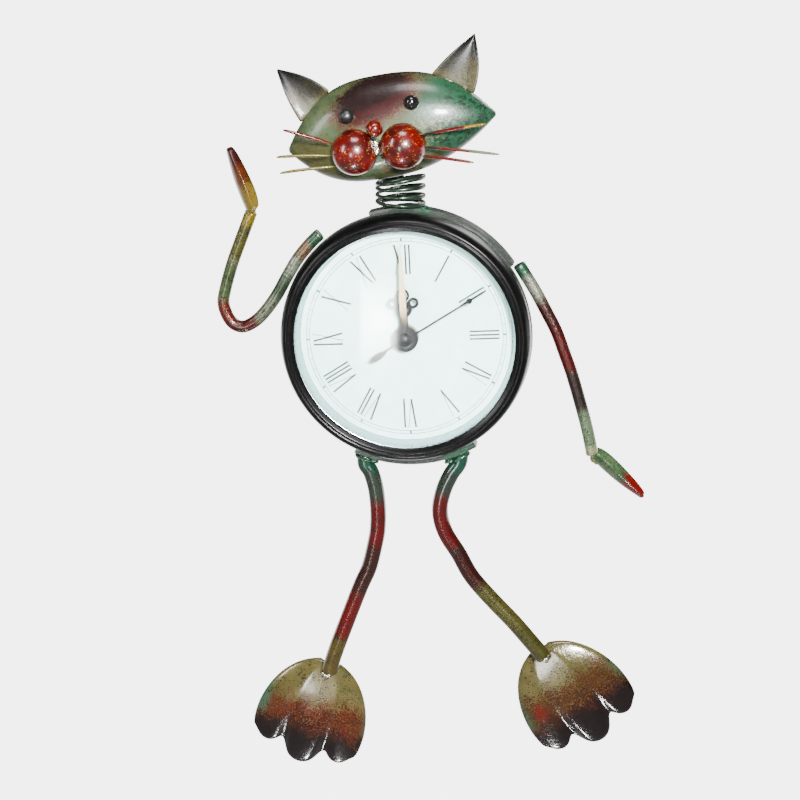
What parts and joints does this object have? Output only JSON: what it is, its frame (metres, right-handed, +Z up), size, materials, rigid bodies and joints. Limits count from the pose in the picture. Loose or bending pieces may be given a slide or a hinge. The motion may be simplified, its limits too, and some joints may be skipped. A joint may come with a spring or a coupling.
{
  "type": "wall clock",
  "caption": "Cat-shaped metal wall clock: round quartz clock belly, domed head on a spring neck, bent-rod arms and legs.",
  "frame": {"origin": "centre of the hanging hole in the rear strap, on the wall plane", "axes": "+Z up the clock, -Y out from the wall towards the viewer, +X to the viewer's right"},
  "size_m": [0.1987, 0.0372, 0.3537],
  "materials": {
    "band_paint": "worn lacquered paint on steel",
    "green_paint": "gloss lacquer over sponged green paint",
    "arm_paint": "gloss lacquer over silvery green paint",
    "red_paint": "gloss lacquer over speckled red paint",
    "olive_paint": "gloss lacquer over olive paint",
    "spring_steel": "steel under a thin green lacquer",
    "black_gloss": "polished black",
    "clear_glass": "clear domed glass",
    "silver": "polished",
    "dial_white": "printed matt dial",
    "black_plastic": "fine moulded texture",
    "rubber": "soft",
    "brass": "plain",
    "hand_black": "satin black",
    "ivory_plastic": "moulded acetal",
    "board_green": "board laminate",
    "copper": "enamelled copper wire",
    "battery_wrap": "plain wrap with a copper band"
  },
  "bodies": {
    "case": {"case_drum": "band_paint", "neck_strip": "green_paint", "leg_strip": "green_paint", "hanger_strap": "band_paint", "arm_left": "arm_paint", "arm_right": "arm_paint", "paw_left": "red_paint", "paw_right": "green_paint", "leg_left": "red_paint", "leg_right": "green_paint", "foot_left": "red_paint", "foot_right": "red_paint"},
    "neck": {"neck_spring": "spring_steel"},
    "head": {"head_front": "green_paint", "head_back": "green_paint", "ear_left": "olive_paint", "ear_right": "olive_paint", "eyes": "black_gloss", "nose": "red_paint", "cheek_left": "red_paint", "cheek_right": "red_paint", "whiskers_left": "olive_paint", "whiskers_right": "olive_paint", "muzzle_weld": "spring_steel"},
    "insert": {"bezel": "black_gloss", "lens": "clear_glass", "reflector_ring": "silver", "dial": "dial_white", "insert_cup": "black_plastic", "gasket_ring": "rubber", "dial_washer": "silver", "mounting_nut": "brass", "movement_case": "black_plastic", "movement_cover": "black_plastic", "middle_plate": "ivory_plastic", "circuit_board": "board_green", "quartz_crystal": "silver", "coil": "copper", "stator": "silver", "contact_positive": "silver", "contact_negative": "silver"},
    "seconds": {"second_hand": "hand_black", "second_wheel": "ivory_plastic"},
    "third": {"third_wheel": "ivory_plastic"},
    "minutes": {"minute_hand": "hand_black", "centre_wheel": "ivory_plastic"},
    "setting": {"minute_wheel": "ivory_plastic", "setting_knob": "ivory_plastic"},
    "hours": {"hour_hand": "hand_black", "hour_wheel": "brass"},
    "intermediate": {"intermediate_wheel": "ivory_plastic"},
    "rotor_body": {"rotor": "ivory_plastic"},
    "battery_body": {"battery": "battery_wrap"}
  },
  "joints": [
    {"name": "insert_pull", "type": "slide", "parent": "case", "child": "insert", "axis": [0, -1, 0], "range_m": [0, 0.03]},
    {"name": "head_sway", "type": "hinge", "parent": "case", "child": "neck", "pos_m": [-0.0032, -0.0145, 0.02581], "axis": [0, 1, 0], "range_deg": [-14, 14], "stiffness_Nm_per_rad": 0.46, "deforming": ["neck_spring"]},
    {"name": "head_nod", "type": "hinge", "parent": "neck", "child": "head", "pos_m": [-0.0032, -0.0145, 0.02581], "axis": [1, 0, 0], "range_deg": [-6, 12], "stiffness_Nm_per_rad": 0.46, "deforming": ["neck_spring"]},
    {"name": "second_hand_turn", "type": "hinge", "parent": "insert", "child": "seconds", "pos_m": [0, -0.012, -0.04], "axis": [0, 1, 0], "continuous": true},
    {"name": "third_wheel_turn", "type": "hinge", "parent": "insert", "child": "third", "pos_m": [-0.00673, -0.012, -0.03327], "axis": [0, 1, 0], "continuous": true},
    {"name": "minute_hand_turn", "type": "hinge", "parent": "insert", "child": "minutes", "pos_m": [0, -0.012, -0.04], "axis": [0, 1, 0], "continuous": true},
    {"name": "setting_knob_turn", "type": "hinge", "parent": "insert", "child": "setting", "pos_m": [0.0096, -0.012, -0.04], "axis": [0, 1, 0], "continuous": true},
    {"name": "hour_hand_turn", "type": "hinge", "parent": "insert", "child": "hours", "pos_m": [0, -0.012, -0.04], "axis": [0, 1, 0], "continuous": true},
    {"name": "intermediate_wheel_turn", "type": "hinge", "parent": "insert", "child": "intermediate", "pos_m": [0.0036, -0.012, -0.03377], "axis": [0, 1, 0], "continuous": true},
    {"name": "rotor_turn", "type": "hinge", "parent": "insert", "child": "rotor_body", "pos_m": [0.00896, -0.012, -0.02926], "axis": [0, 1, 0], "continuous": true},
    {"name": "battery_out", "type": "slide", "parent": "insert", "child": "battery_body", "axis": [0, 1, 0], "range_m": [0, 0.025]}
  ],
  "couplings": [
    {"joint": "third_wheel_turn", "follows": "second_hand_turn", "ratio": -0.125},
    {"joint": "minute_hand_turn", "follows": "second_hand_turn", "ratio": 0.016667},
    {"joint": "setting_knob_turn", "follows": "second_hand_turn", "ratio": -0.0055556},
    {"joint": "hour_hand_turn", "follows": "second_hand_turn", "ratio": 0.0013889},
    {"joint": "intermediate_wheel_turn", "follows": "second_hand_turn", "ratio": -5},
    {"joint": "rotor_turn", "follows": "second_hand_turn", "ratio": 30}
  ]
}
